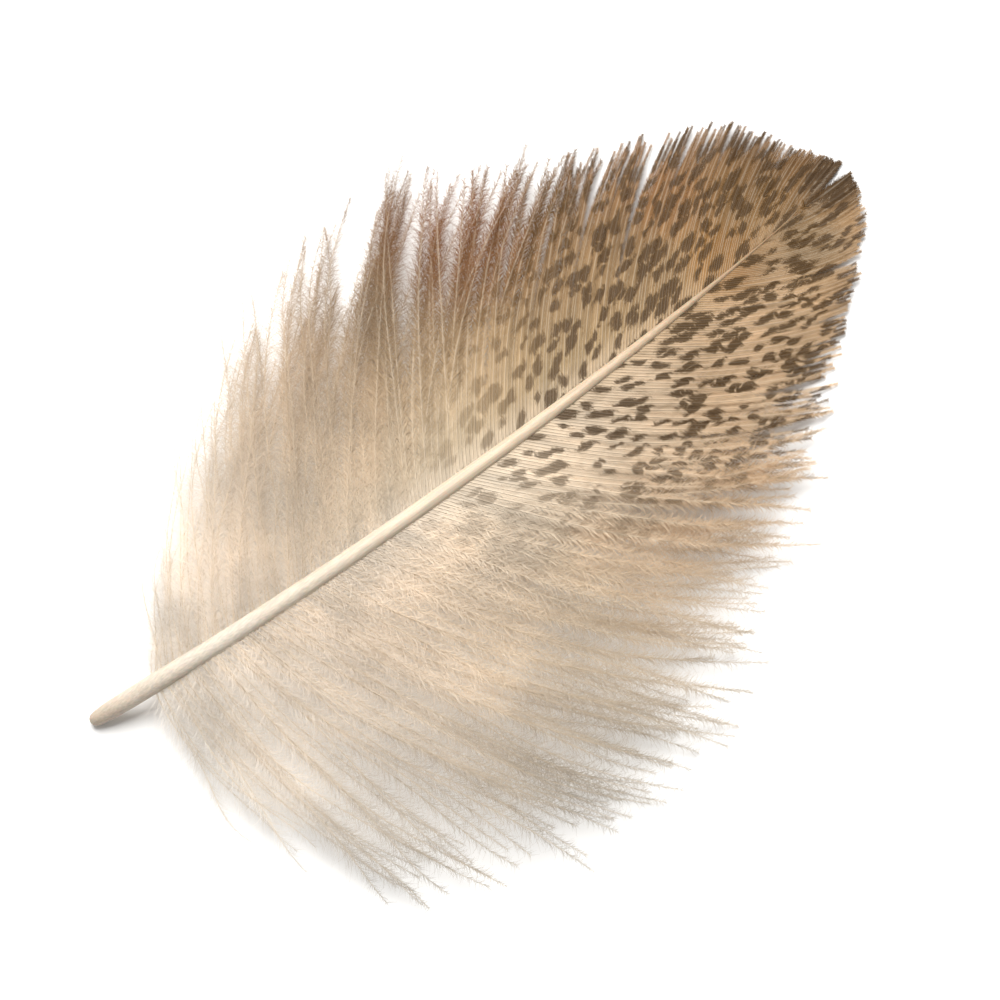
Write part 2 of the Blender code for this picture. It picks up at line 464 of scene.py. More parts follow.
def barb_lines(name, side, shares, seed):
    """A mesh of one polyline a barb, with attributes for its barbules."""
    vary = np.random.default_rng(seed)
    count = len(shares)
    reach = np.linspace(0, 1, BARB_POINTS)[None, :].repeat(count, 0)
    share = shares[:, None] + np.zeros_like(reach)
    places = strayed_places(side, share, reach, vary)
    steps = np.linalg.norm(np.diff(places, axis=1), axis=2)
    along = np.concatenate([np.zeros((count, 1)), np.cumsum(steps, 1)], 1)

    start = soft_step(reach, 0.0, FULL_FROM)
    ends = 1 - SHORTEN[1] * soft_step(reach, SHORTEN[0], 1.0)
    slim = 1 - THIN[1] * soft_step(share, THIN[0], 1.0)
    in_down = BARBULE_LENGTH[1] - DOWN_SHORTENS * reach
    values = {
        "barb": np.arange(count)[:, None] + np.zeros_like(reach),
        "root": (share * SHAFT_LENGTH) / MM,
        "along": along / MM,
        "down": downiness(share, reach),
        "tone": vary.uniform(0, 1, (count, 1)) + np.zeros_like(reach),
        "thick": mixed(*STEM_RADIUS, share, reach) * MM * (1 - (1 - STEM_TIP) * reach) * slim,
        "barbule": mixed(BARBULE_LENGTH[0], in_down, share, reach) * MM * start * ends,
        "width": mixed(*BARBULE_WIDTH, share, reach) * MM,
        "splay": mixed(*SPLAY, share, reach),
    }
    mesh = bpy.data.meshes.new(name)
    index = np.arange(count * BARB_POINTS).reshape(count, BARB_POINTS)
    edges = np.stack([index[:, :-1].ravel(), index[:, 1:].ravel()], 1)
    mesh.from_pydata(places.reshape(-1, 3).tolist(), edges.tolist(), [])
    for key, value in values.items():
        mesh.attributes.new(key, "FLOAT", "POINT").data.foreach_set("value", value.astype(np.float32).ravel())
    up = surface_up(side, share, reach).astype(np.float32)
    mesh.attributes.new("up", "FLOAT_VECTOR", "POINT").data.foreach_set("vector", up.ravel())
    lines = bpy.data.objects.new(name, mesh)
    bpy.context.scene.collection.objects.link(lines)
    return lines, count, float(along.max())


print("a barb is drawn with", BARB_POINTS, "points")

# %% [markdown]
# ## The stem of a barb
#
# A barb's own stem is a tapering thread, a few hundredths of a millimetre thick. Curve to Mesh sweeps a ring
# along each line. Three sides are enough at this size, and there are several hundred stems, so each side
# saved counts. The ring also notes how far aside each of its points is, because the map that a bake uses
# needs to lay the stem out flat.

# %% Starting and ending a tree, and the stems
STEM_SIDES = 3


def new_tree(name, inputs):
    """An empty tree that takes and gives geometry, with these further inputs: name and kind."""
    tree = bpy.data.node_groups.new(name, "GeometryNodeTree")
    tree.interface.new_socket("Geometry", in_out="OUTPUT", socket_type="NodeSocketGeometry")
    for label, kind in {"Geometry": "Geometry", **inputs}.items():
        tree.interface.new_socket(label, in_out="INPUT", socket_type="NodeSocket" + kind)
    return tree, add(tree, "NodeGroupInput").outputs


def end_tree(tree, given, mesh):
    """Makes the mesh smooth and plain, gives it its material and hands it out."""
    smooth = add(tree, "GeometryNodeSetShadeSmooth", {"Geometry": mesh})
    plain = add(tree, "GeometryNodeRealizeInstances", {"Geometry": smooth})
    worn = add(tree, "GeometryNodeSetMaterial", {"Geometry": plain, "Material": given["Material"]})
    add(tree, "NodeGroupOutput", {0: worn})
    return tree


def swept(tree, line, sides):
    """A tube along the line, as thick as its points say, which knows how far aside its own points are."""
    ring = add(tree, "GeometryNodeCurvePrimitiveCircle", {"Resolution": sides, "Radius": 1.0}, mode="RADIUS")
    place = add(tree, SPLIT, {0: add(tree, POSITION)})
    ring = add(tree, STORE, {
        "Geometry": ring, "Name": "aside", "Value": place.outputs["X"],
    }, data_type="FLOAT", domain="POINT")
    thick = add(tree, ATTRIBUTE, {"Name": "thick"}, data_type="FLOAT").outputs["Attribute"]
    return add(tree, "GeometryNodeCurveToMesh", {
        "Curve": line, "Profile Curve": ring, "Scale": thick, "Fill Caps": True,
    })


# %% [markdown]
# ## One barbule
#
# A barbule is a flat blade that narrows to a thread. Ours is a strip of two quads, one unit long, which each
# copy stretches to its own length and width. A thin tube would look the same from here and cost three times
# the faces. The blade remembers how far out each of its points is, and how far aside.

# %% The blade that every barbule copies
BLADE_NARROWS = 0.85  # what a blade loses of its width from its root to its end


def one_blade(tree, sections):
    grid = add(tree, "GeometryNodeMeshGrid", {
        "Size X": 1.0, "Size Y": 1.0, "Vertices X": 2, "Vertices Y": sections,
    })
    place = add(tree, SPLIT, {0: add(tree, POSITION)})  # read anew at each step that uses it
    out = add(tree, MATH, {0: place.outputs["Y"], 1: 0.5}, operation="ADD")
    blade = add(tree, STORE, {
        "Geometry": grid, "Name": "blade", "Value": out,
    }, data_type="FLOAT", domain="POINT")
    narrow = add(tree, MATH, {0: out, 1: -BLADE_NARROWS, 2: 1.0}, operation="MULTIPLY_ADD")
    across = add(tree, MATH, {0: place.outputs["X"], 1: narrow}, operation="MULTIPLY")
    blade = add(tree, MOVE, {"Geometry": blade, "Position": add(tree, JOIN, {"X": across, "Y": out})})
    return add(tree, STORE, {
        "Geometry": blade, "Name": "blade_aside", "Value": place.outputs["X"],
    }, data_type="FLOAT", domain="POINT")


# %% [markdown]
# ## Two blades at every step
#
# Copying barbules by hand is out of the question: there are about two hundred thousand. Instancing is made
# for this. The tree walks along each barb in even steps and sets a blade on either side, leaning forwards. In
# the vane all blades lie flat, so they meet those of the next barb. In the down each leans and tilts by
# chance. Its direction is the sum of three parts, along the barb, across it and up, and gives its rotation.

# %% Setting the blades
LEAN_SHARE = 0.7       # how much of its splay a blade's slant differs by, at the most
LEANS = (-1.0, 1.0)    # how much of that, from closer to the barb to further off it
TILTS = (-1.0, 0.75)   # from down to up, how much of its splay it tilts by
LENGTHS = (0.75, 1.1)  # from the shortest to the longest, as a share of the length it is given


def blades_along(tree, given, value, lines, blade, seeds):
    """The blades as instances, each blade's length, and which side of the barb it is on: -1 or 1."""
    steps = add(tree, "GeometryNodeCurveToPoints", {
        "Curve": lines, "Length": given["Barbule spacing"],
    }, mode="LENGTH")
    points = add(tree, STORE, {
        "Geometry": steps.outputs["Points"], "Name": "tangent", "Value": steps.outputs["Tangent"],
    }, data_type="FLOAT_VECTOR", domain="POINT")
    pairs = add(tree, "GeometryNodeDuplicateElements", {"Geometry": points, "Amount": 2}, domain="POINT")
    hand = add(tree, MATH, {0: pairs.outputs["Duplicate Index"], 1: 2.0, 2: -1.0}, operation="MULTIPLY_ADD")

    lean_chance, tilt_chance, length_chance = (
        add(tree, RANDOM, {"Min": least, "Max": most, "Seed": seed}, data_type="FLOAT").outputs[1]
        for (least, most), seed in zip((LEANS, TILTS, LENGTHS), seeds)
    )
    leaning = add(tree, MATH, {0: value["splay"], 1: LEAN_SHARE}, operation="MULTIPLY")
    lean = add(tree, MATH, {0: lean_chance, 1: leaning, 2: given["Slant"]}, operation="MULTIPLY_ADD")
    tilt = add(tree, MATH, {0: tilt_chance, 1: value["splay"]}, operation="MULTIPLY")

    sideways = add(tree, VECTOR, {0: value["up"], 1: value["tangent"]}, operation="CROSS_PRODUCT")
    ahead_share = add(tree, MATH, {0: lean}, operation="COSINE")
    side_share = add(tree, MATH, {0: lean}, operation="SINE")
    side_share = add(tree, MATH, {0: side_share, 1: hand}, operation="MULTIPLY")
    way = add(tree, VECTOR, {0: value["tangent"], "Scale": ahead_share}, operation="SCALE")
    for direction, share in ((sideways, side_share), (value["up"], tilt)):
        part = add(tree, VECTOR, {0: direction, "Scale": share}, operation="SCALE")
        way = add(tree, VECTOR, {0: way, 1: part}, operation="ADD")
    facing = add(tree, "FunctionNodeAxesToRotation", {
        "Primary Axis": way, "Secondary Axis": value["up"],
    }, primary_axis="Y", secondary_axis="Z")

    size = add(tree, MATH, {0: value["barbule"], 1: length_chance}, operation="MULTIPLY")
    blades = add(tree, "GeometryNodeInstanceOnPoints", {
        "Points": pairs, "Instance": blade, "Rotation": facing,
        "Scale": add(tree, JOIN, {"X": value["width"], "Y": size, "Z": size}),
    })
    return blades, size, hand


# %% [markdown]
# ## Making them real, and bending them
#
# A copy can be turned and stretched but not bent, so the copies become real mesh first. Before that, each one
# writes down its length, its side and a random direction. Afterwards every point moves in its blade's
# direction, the more the further out it is, and most in the down. In the vane the hooks hold blades straight.

# %% Bending the blades
BENDS = ((-1.0, -1.0, -1.0), (1.0, 1.0, 0.6))  # the range of directions: a little less often up
CURL = 2.0                                     # how late along a blade it bends, as a power


def bent_blades(tree, given, value, blades, size, hand, seed):
    bend = add(tree, RANDOM, {
        "Min": BENDS[0], "Max": BENDS[1], "Seed": seed,
    }, data_type="FLOAT_VECTOR")
    for name, kind, noted in (
        ("size", "FLOAT", size), ("hand", "FLOAT", hand), ("bend", "FLOAT_VECTOR", bend),
    ):
        blades = add(tree, STORE, {
            "Geometry": blades, "Name": name, "Value": noted,
        }, data_type=kind, domain="INSTANCE")
    real = add(tree, "GeometryNodeRealizeInstances", {"Geometry": blades})

    curl = add(tree, MATH, {0: value["blade"], 1: CURL}, operation="POWER")
    curl = add(tree, MATH, {0: curl, 1: value["size"]}, operation="MULTIPLY")
    softness = add(tree, MATH, {0: value["splay"], 1: given["Bend"]}, operation="MULTIPLY")
    much = add(tree, MATH, {0: curl, 1: softness}, operation="MULTIPLY")
    shift = add(tree, VECTOR, {0: value["bend"], "Scale": much}, operation="SCALE")
    return add(tree, MOVE, {"Geometry": real, "Offset": shift})


# %% [markdown]
# ## A map, and a measure for the pattern
#
# Two things are written on the finished mesh. A bake needs a flat map on which nothing overlaps: each barb
# gets a column of its own, with its blades left and right of its stem. And the pattern needs the feather's
# own measure, because pigment was laid down while each barb grew. "reached" is how far out along the barb a
# point is, and "abreast" is its place along the shaft, both in millimetres. With only the first, each barb
# would have one colour all across, and the flecks would come out as square steps.

# %% The bake's map and the pattern's measure
STEM_ON_MAP = 0.05         # half the stem's width on the map, in columns
BLADE_ON_MAP = 0.44        # a blade's length on the map, in columns
BLADE_WIDTH_ON_MAP = 0.06  # its width there, in millimetres along the barb
AHEAD_SHARE = 0.78         # how far a blade reaches along the barb, as a share of its length
ACROSS_SHARE = 0.95        # how far it reaches across to the next barb


def measured(tree, given, value, mesh):
    span = add(tree, MATH, {0: value["hand"], 1: value["blade"]}, operation="MULTIPLY")
    reach = add(tree, MATH, {0: value["blade"], 1: value["size"]}, operation="MULTIPLY")
    reached = add(tree, MATH, {0: reach, 1: AHEAD_SHARE / MM, 2: value["along"]}, operation="MULTIPLY_ADD")

    stem_aside = add(tree, MATH, {0: value["aside"], 1: STEM_ON_MAP}, operation="MULTIPLY")
    aside = add(tree, MATH, {0: span, 1: BLADE_ON_MAP, 2: stem_aside}, operation="MULTIPLY_ADD")
    middle_of = add(tree, MATH, {0: value["barb"], 1: 0.5}, operation="ADD")
    column = add(tree, MATH, {0: middle_of, 1: aside}, operation="ADD")
    map_u = add(tree, MATH, {0: column, 1: given["Barb count"]}, operation="DIVIDE")
    widthwise = add(tree, MATH, {
        0: value["blade_aside"], 1: BLADE_WIDTH_ON_MAP, 2: reached,
    }, operation="MULTIPLY_ADD")
    map_v = add(tree, MATH, {0: widthwise, 1: given["Longest barb"]}, operation="DIVIDE")
    mesh = add(tree, STORE, {
        "Geometry": mesh, "Name": "OFBake", "Value": add(tree, JOIN, {"X": map_u, "Y": map_v}),
    }, data_type="FLOAT2", domain="CORNER")

    towards_tip = add(tree, MATH, {0: span, 1: given["Hand towards the tip"]}, operation="MULTIPLY")
    stretch = add(tree, MATH, {0: towards_tip, 1: value["size"]}, operation="MULTIPLY")
    abreast = add(tree, MATH, {0: stretch, 1: ACROSS_SHARE / MM, 2: value["root"]}, operation="MULTIPLY_ADD")
    for name, measure in (("reached", reached), ("abreast", abreast)):
        mesh = add(tree, STORE, {
            "Geometry": mesh, "Name": name, "Value": measure,
        }, data_type="FLOAT", domain="POINT")
    return mesh


# %% [markdown]
# ## The whole tree
#
# Now the steps are put together: lines to stems, lines to blades, both joined, lifted off the table where
# anything would go through it, measured and given its material. The tree's sizes are named inputs, so the
# three zones of each side can share it with their own spacing and seed.

# %% The tree for barbs and barbules
TABLE_GAP = 0.03 * MM  # the lowest that any point may lie
CARRIED = {            # what the tree reads by name, from the mesh or from an earlier step
    "FLOAT": (
        "barb", "root", "along", "barbule", "width", "splay", "aside", "blade", "blade_aside", "size", "hand",
    ),
    "FLOAT_VECTOR": ("up", "tangent", "bend"),
}


def barbs_tree():
    tree, given = new_tree("barbs and barbules", {
        "Barbule spacing": "Float", "Blade sections": "Int", "Slant": "Float", "Bend": "Float",
        "Barb count": "Float", "Longest barb": "Float", "Hand towards the tip": "Float",
        "Seed": "Int", "Material": "Material",
    })
    value = {
        name: add(tree, ATTRIBUTE, {"Name": name}, data_type=kind).outputs["Attribute"]
        for kind, names in CARRIED.items()
        for name in names
    }
    lines = add(tree, "GeometryNodeMeshToCurve", {"Mesh": given["Geometry"]})
    seeds = [
        add(tree, "FunctionNodeIntegerMath", {0: given["Seed"], 1: i}, operation="ADD") for i in range(4)
    ]
    blade = one_blade(tree, given["Blade sections"])
    blades, size, hand = blades_along(tree, given, value, lines, blade, seeds)
    bent = bent_blades(tree, given, value, blades, size, hand, seeds[3])
    joined = add(tree, "GeometryNodeJoinGeometry")
    for part in (swept(tree, lines, STEM_SIDES), bent):
        tree.links.new(part.outputs[0], joined.inputs[0])

    place = add(tree, SPLIT, {0: add(tree, POSITION)})
    height = add(tree, MATH, {0: place.outputs["Z"], 1: TABLE_GAP}, operation="MAXIMUM")
    lifted = add(tree, JOIN, {"X": place.outputs["X"], "Y": place.outputs["Y"], "Z": height})
    rested = add(tree, MOVE, {"Geometry": joined, "Position": lifted})
    return end_tree(tree, given, measured(tree, given, value, rested))


barbs_and_barbules = barbs_tree()
print(len(barbs_and_barbules.nodes), "nodes grow the barbs")

# %% [markdown]
# ## From a tree to a plain mesh
#
# A modifier's result is only a preview until it is kept. We set the tree's inputs, evaluate the object once,
# copy the result to a new mesh, and delete the modifier and the lines. Most of what only the tree needed is
# deleted too, so the mesh keeps little more than the attributes that its material reads.

# %% Running a tree and keeping its mesh
SPARE = (  # attributes that no finished piece needs
    "up", "tangent", "bend", "size", "hand", "blade_aside", "aside",
    "thick", "barbule", "width", "splay", "barb", "root",
)


def grown(source, tree, values):
    """The plain mesh that a tree makes of an object, as a new object. The source is removed."""
    name = source.name
    source.name = name + "_lines"
    modifier = source.modifiers.new(tree.name, "NODES")
    modifier.node_group = tree
    for item in tree.interface.items_tree:
        if item.in_out == "INPUT" and item.name in values:
            modifier[item.identifier] = values[item.name]
    graph = bpy.context.evaluated_depsgraph_get()
    mesh = bpy.data.meshes.new_from_object(
        source.evaluated_get(graph), preserve_all_data_layers=True, depsgraph=graph,
    )
    source.modifiers.remove(modifier)
    bpy.data.objects.remove(source)
    for spare in SPARE:
        if spare in mesh.attributes:
            mesh.attributes.remove(mesh.attributes[spare])
    piece = bpy.data.objects.new(name, mesh)
    bpy.context.scene.collection.objects.link(piece)
    return piece


# %% [markdown]
# ## The ground colour
#
# A feather is keratin, like a fingernail, coloured by pigment that was laid down while it grew. The ground
# goes from almost white down to buff and brown at the tip. Left of the shaft it is browner, partly pigment
# and partly painted shade, with a rufous edge, and the right edge is pearl grey, partly pigment and partly
# painted shade. Of the patches, the olive one near the tip is painted shade. We could paint a picture of it,
# but a few broad ramps in the feather's own coordinates stay sharp at any size, and slow noise makes them
# wander as pigment does.

# %% Colours of the ground, and where they lie
GROUND = (  # place from the quill's end to the tip, colour between the markings
    (0.00, "#FBF8F3"),
    (0.25, "#F3E9DC"),
    (0.50, "#F1E1CA"),
    (0.70, "#E0C7A8"),
    (0.88, "#CCAA82"),
    (1.00, "#9E7A4E"),
)
LEFT_BROWN_AND_SHADE = "#C0B397"  # a tint over the left half of the vane: partly brown pigment, partly painted shade
RUFOUS = "#966638"      # the left edge
PEARL_GREY_AND_SHADE = "#9E9383"  # the right edge: partly grey pigment, partly painted shade
PATCHES = (  # middle in millimetres, radius, strength, colour
    (18.4, 3.8, 3.3, 0.62, "#9C6A26"),  # rufous, left of the shaft's thin end
    (18.0, 8.6, 3.6, 0.32, "#9A6430"),  # the same, fainter, further left
    (6.5, 13.8, 6.0, 0.45, "#8E562C"),  # reddish brown, half way along the left edge
    (26.6, 3.9, 2.3, 0.80, "#4A3620"),  # dark, at the very tip
    (23.4, 1.6, 2.8, 0.42, "#64573F"),  # painted shade in olive, right of it
)
HALF_LENGTH = 27.5               # millimetres, as are the places that follow
DRIFT_SCALE = 0.12               # noise waves to a millimetre
DRIFT = 12.0                     # how far that noise shifts the ground's colours along the feather
DRIFT_MIDDLE = 6.0               # what is taken off again, because noise is about a half on average
LEFT_EDGE = (4.0, 16.5, 1.0)     # how far out rufous sets in, where it is full, and its share there
IN_VANE = (-14.0, 8.0, 1.0)      # the same along the feather
RIGHT_EDGE = (-8.0, -17.0, 0.8)  # the same for the pearl grey and painted shade, how far out
LEFT_SIDE = (1.0, 4.0, 1.0)      # and for the brown tint and painted shade, how far out and along the feather
PAST_DOWN = (-16.0, 6.0, 1.0)
PATCH_CORE = 0.3                 # a patch is full within this share of its radius


def with_stops(ramp, stops):
    """Gives a colour ramp these stops, position and hex colour, and returns its output."""
    for number, (position, colour) in enumerate(stops):
        stop = ramp.color_ramp.elements[number] if number < 2 else ramp.color_ramp.elements.new(position)
        stop.position = position
        stop.color = linear(colour)
    return ramp.outputs["Color"]


def ground_colour(tree, in_mm, xyz):
    x, y = xyz.outputs["X"], xyz.outputs["Y"]
    drift = add(tree, NOISE, {"Vector": in_mm, "Scale": DRIFT_SCALE, "Detail": 2.0})
    centred = add(tree, MATH, {0: x, 1: DRIFT_MIDDLE}, operation="SUBTRACT")
    along = add(tree, MATH, {0: drift, 1: DRIFT, 2: centred}, operation="MULTIPLY_ADD")
    at = add(tree, REMAP, {"Value": along, "From Min": -HALF_LENGTH, "From Max": HALF_LENGTH})
    colour = with_stops(add(tree, RAMP, {0: at}), GROUND)

    left_edge, in_vane, right_edge, left_side, past_down = (
        add(tree, REMAP, {"Value": at, "From Min": start, "From Max": full, "To Max": most})
        for at, (start, full, most) in (
            (y, LEFT_EDGE), (x, IN_VANE), (y, RIGHT_EDGE), (y, LEFT_SIDE), (x, PAST_DOWN),
        )
    )
    rufous = add(tree, MATH, {0: left_edge, 1: in_vane}, operation="MULTIPLY")
    # the left half's tint: partly brown pigment, partly painted shade that darkens that half
    browner_and_shaded = add(tree, MATH, {0: left_side, 1: past_down}, operation="MULTIPLY")
    # the right edge's grey is partly pigment and partly painted shade
    for share, tint, how in (
        (rufous, RUFOUS, "MIX"), (right_edge, PEARL_GREY_AND_SHADE, "MIX"), (browner_and_shaded, LEFT_BROWN_AND_SHADE, "MULTIPLY"),
    ):
        colour = add(tree, MIX, {
            "Factor": share, "A": colour, "B": linear(tint),
        }, data_type="RGBA", blend_type=how).outputs["Result"]

    seen_flat = add(tree, JOIN, {"X": x, "Y": y})
    for patch_x, patch_y, radius, strength, tint in PATCHES:
        away = add(tree, VECTOR, {0: seen_flat, 1: (patch_x, patch_y, 0.0)}, operation="DISTANCE")
        there = add(tree, REMAP, {
            "Value": away.outputs["Value"],
            "From Min": radius, "From Max": PATCH_CORE * radius, "To Max": strength,
        }, interpolation_type="SMOOTHSTEP")
        colour = add(tree, MIX, {
            "Factor": there, "A": colour, "B": linear(tint),
        }, data_type="RGBA").outputs["Result"]
    return colour, left_side


# %% [markdown]
# ## Barb by barb
#
# Look closely and no two barbs match: each is a little lighter or darker than the next, and soft streaks run
# out along them. The first is one random number a barb. The streaks are noise that is stretched along the
# barbs, almost seven times as long as wide. Slow noise, with clouds of five millimetres, lightens and darkens
# whole parts, as thick and thin down does. Without all this the feather looks printed.

# %% Uneven barbs
TONES = (0.90, 1.06)          # brightness of the darkest and the lightest barb
STREAK_SHADES = (0.86, 1.08)  # the same for the streaks
CLOUD_SHADES = (0.90, 1.08)   # and for the clouds
STREAKS_ALONG = 0.12          # streaks to a millimetre along the barbs
STREAKS_ACROSS = 0.80         # and across them
CLOUDS = 0.20                 # clouds to a millimetre
NOISE_RANGE = (0.35, 0.65)    # noise seldom leaves this range


def uneven_barbs(tree, in_mm, colour, value):
    place = add(tree, JOIN, {
        "X": add(tree, MATH, {0: value["reached"], 1: STREAKS_ALONG}, operation="MULTIPLY"),
        "Y": add(tree, MATH, {0: value["abreast"], 1: STREAKS_ACROSS}, operation="MULTIPLY"),
    })
    streaks = add(tree, NOISE, {"Vector": place, "Scale": 1.0, "Detail": 2.0})
    clouds = add(tree, NOISE, {"Vector": in_mm, "Scale": CLOUDS, "Detail": 2.0})
    tone, streaky, cloudy = (
        add(tree, REMAP, {
            "Value": pattern, "From Min": start, "From Max": end, "To Min": darkest, "To Max": lightest,
        })
        for pattern, (start, end), (darkest, lightest) in (
            (value["tone"], (0.0, 1.0), TONES),
            (streaks, NOISE_RANGE, STREAK_SHADES),
            (clouds, NOISE_RANGE, CLOUD_SHADES),
        )
    )
    brightness = add(tree, MATH, {0: tone, 1: streaky}, operation="MULTIPLY")
    brightness = add(tree, MATH, {0: brightness, 1: cloudy}, operation="MULTIPLY")
    return add(tree, VECTOR, {0: colour, "Scale": brightness}, operation="SCALE")


# %% [markdown]
# ## The flecks
#
# Dark umber flecks, a millimetre or so apart, cover the vane, and fade out towards the down. A Voronoi
# texture scatters cells evenly but not in rows, and the distance from a cell's middle gives a round fleck.
# Noise moves the cells about and frays their edges, and each cell gets its own size. The texture doesn't read
# where a point is in space, but "reached" and "abreast", so each fleck follows the barbs it is made of.

# %% Markings in the feather's own measure
MARKING = "#422A08"       # dark umber flecks
MARKING_EDGE = "#7A5618"  # the warmer brown where a fleck fades out
FLECK_LENGTH = 1.35       # millimetres from one fleck to the next along a barb
FLECK_ROW = 1.18          # millimetres along the shaft from one row of flecks to the next
OUT_OF_LINE = 0.10        # how far two barbs' flecks may be out of line, in flecks
WANDER_SCALE = 0.9        # noise waves to a fleck
WANDER = (0.9, 0.9, 0.0)  # how far that noise moves the flecks about
UNEVEN = 0.85             # how unevenly the flecks are scattered, from 0 to 1
SIZE_VARIES = 0.22        # how much a fleck's own size shifts its edge
FRAY_SCALE = 2.2          # noise waves to a fleck
FRAYED = 0.42             # how much that noise shifts its edge
PATCH_SCALE = 0.25        # noise waves to a millimetre
PATCHY = 0.20             # how much that noise shifts it
TIPWARD = (0.0, 26.0, 0.03, -0.10)  # millimetres from and to, and the edge's shift: larger to the tip
LEFTWARD = (-3.0, 5.0, 0.0, -0.05)  # the same to the left
SMUDGE = (0.45, 0.75, 0.0, 0.28)    # noise from and to, and how dark the ground between flecks gets
FLECK_EDGE = (0.18, 0.02, 1.0)      # how far from a cell's middle a fleck ends, where it is full, how dark
CLOSED = (1.0, 0.3, 1.0)            # downiness where flecks set in, where they are full, and their share
ONWARDS = (16.0, 32.0, 0.88)        # the same in millimetres along the shaft
LEFT_LATER = 2.5                    # how much further along they set in on the left


def flecks(tree, in_mm, xyz, left_side, value):
    """How strongly each place is marked, from 0 to 1."""
    counted = add(tree, MATH, {0: value["reached"], 1: 1 / FLECK_LENGTH}, operation="MULTIPLY")
    shift = add(tree, MATH, {0: value["tone"], 1: OUT_OF_LINE, 2: counted}, operation="MULTIPLY_ADD")
    row = add(tree, MATH, {0: value["abreast"], 1: 1 / FLECK_ROW}, operation="MULTIPLY")
    place = add(tree, JOIN, {"X": shift, "Y": row})
    wander = add(tree, NOISE, {"Vector": place, "Scale": WANDER_SCALE, "Detail": 1.0})
    wandered = add(tree, VECTOR, {
        0: wander.outputs["Color"], 1: WANDER, 2: place,
    }, operation="MULTIPLY_ADD")
    cells = add(tree, "ShaderNodeTexVoronoi", {
        "Vector": wandered, "Scale": 1.0, "Randomness": UNEVEN,
    }, voronoi_dimensions="2D")
    own_size = add(tree, SPLIT, {0: cells.outputs["Color"]}).outputs["X"]
    ragged = add(tree, NOISE, {"Vector": wandered, "Scale": FRAY_SCALE, "Detail": 1.0})
    patches = add(tree, NOISE, {"Vector": in_mm, "Scale": PATCH_SCALE, "Detail": 1.0})

    tipward, leftward, smudge = (
        add(tree, REMAP, {"Value": at, "From Min": start, "From Max": end, "To Min": first, "To Max": last})
        for at, (start, end, first, last) in (
            (xyz.outputs["X"], TIPWARD), (xyz.outputs["Y"], LEFTWARD), (ragged, SMUDGE),
        )
    )
    edge = cells.outputs["Distance"]
    for pattern, much in ((own_size, SIZE_VARIES), (ragged, -FRAYED), (patches, -PATCHY)):
        edge = add(tree, MATH, {0: pattern, 1: much, 2: edge}, operation="MULTIPLY_ADD")
    for further in (tipward, leftward):
        edge = add(tree, MATH, {0: edge, 1: further}, operation="ADD")

    begun = add(tree, MATH, {0: left_side, 1: -LEFT_LATER, 2: value["abreast"]}, operation="MULTIPLY_ADD")
    fleck, closed, onwards = (
        add(tree, REMAP, {
            "Value": at, "From Min": start, "From Max": full, "To Max": most,
        }, interpolation_type="SMOOTHSTEP")
        for at, (start, full, most) in ((edge, FLECK_EDGE), (value["down"], CLOSED), (begun, ONWARDS))
    )
    darker = add(tree, MATH, {0: fleck, 1: smudge}, operation="MAXIMUM")
    strength = add(tree, MATH, {0: closed, 1: onwards}, operation="MULTIPLY")
    return add(tree, MATH, {0: darker, 1: strength}, operation="MULTIPLY")


# %% [markdown]
# ## Keratin thin enough to shine through
#
# In the barbs the keratin is hundredths of a millimetre thin. It grew rolled up in a sheath and dried in the
# air, and nothing polished it. To the eye that gives a dull surface with a weak silky gloss, and a good part
# of the light comes through from behind, most of all in the down. So the shader mixes an ordinary surface,
# with keratin's IOR of 1.54 and a roughness of 0.6, with a translucent one. Glass-like transmission would be
# the wrong tool: it shows what lies behind, while a feather only glows. The stems are paler than the blades.

# %% The barbs' material
RAMI = "#EDDFC9"  # the barbs' stems
KERATIN_IOR = 1.54
PALER = (0.28, 0.40)  # how much of that a stem shows, and how much more in the down
STAINED = 0.22        # how much of it a fleck takes away
STEM_ON_BLADE = 0.2   # how far out on a blade it fades
CLEAR = (0.30, 0.22)  # how much light comes through, and how much more in the down


def new_material(name):
    """An empty material, its tree, and its place in millimetres: as one vector, and split in x, y and z."""
    material = bpy.data.materials.new(name)
    material.use_nodes = True
    tree = material.node_tree
    tree.nodes.clear()
    place = add(tree, "ShaderNodeTexCoord").outputs["Object"]
    in_mm = add(tree, "ShaderNodeMapping", {"Vector": place, "Scale": (1 / MM, 1 / MM, 1 / MM)})
    return material, tree, in_mm, add(tree, SPLIT, {0: in_mm})


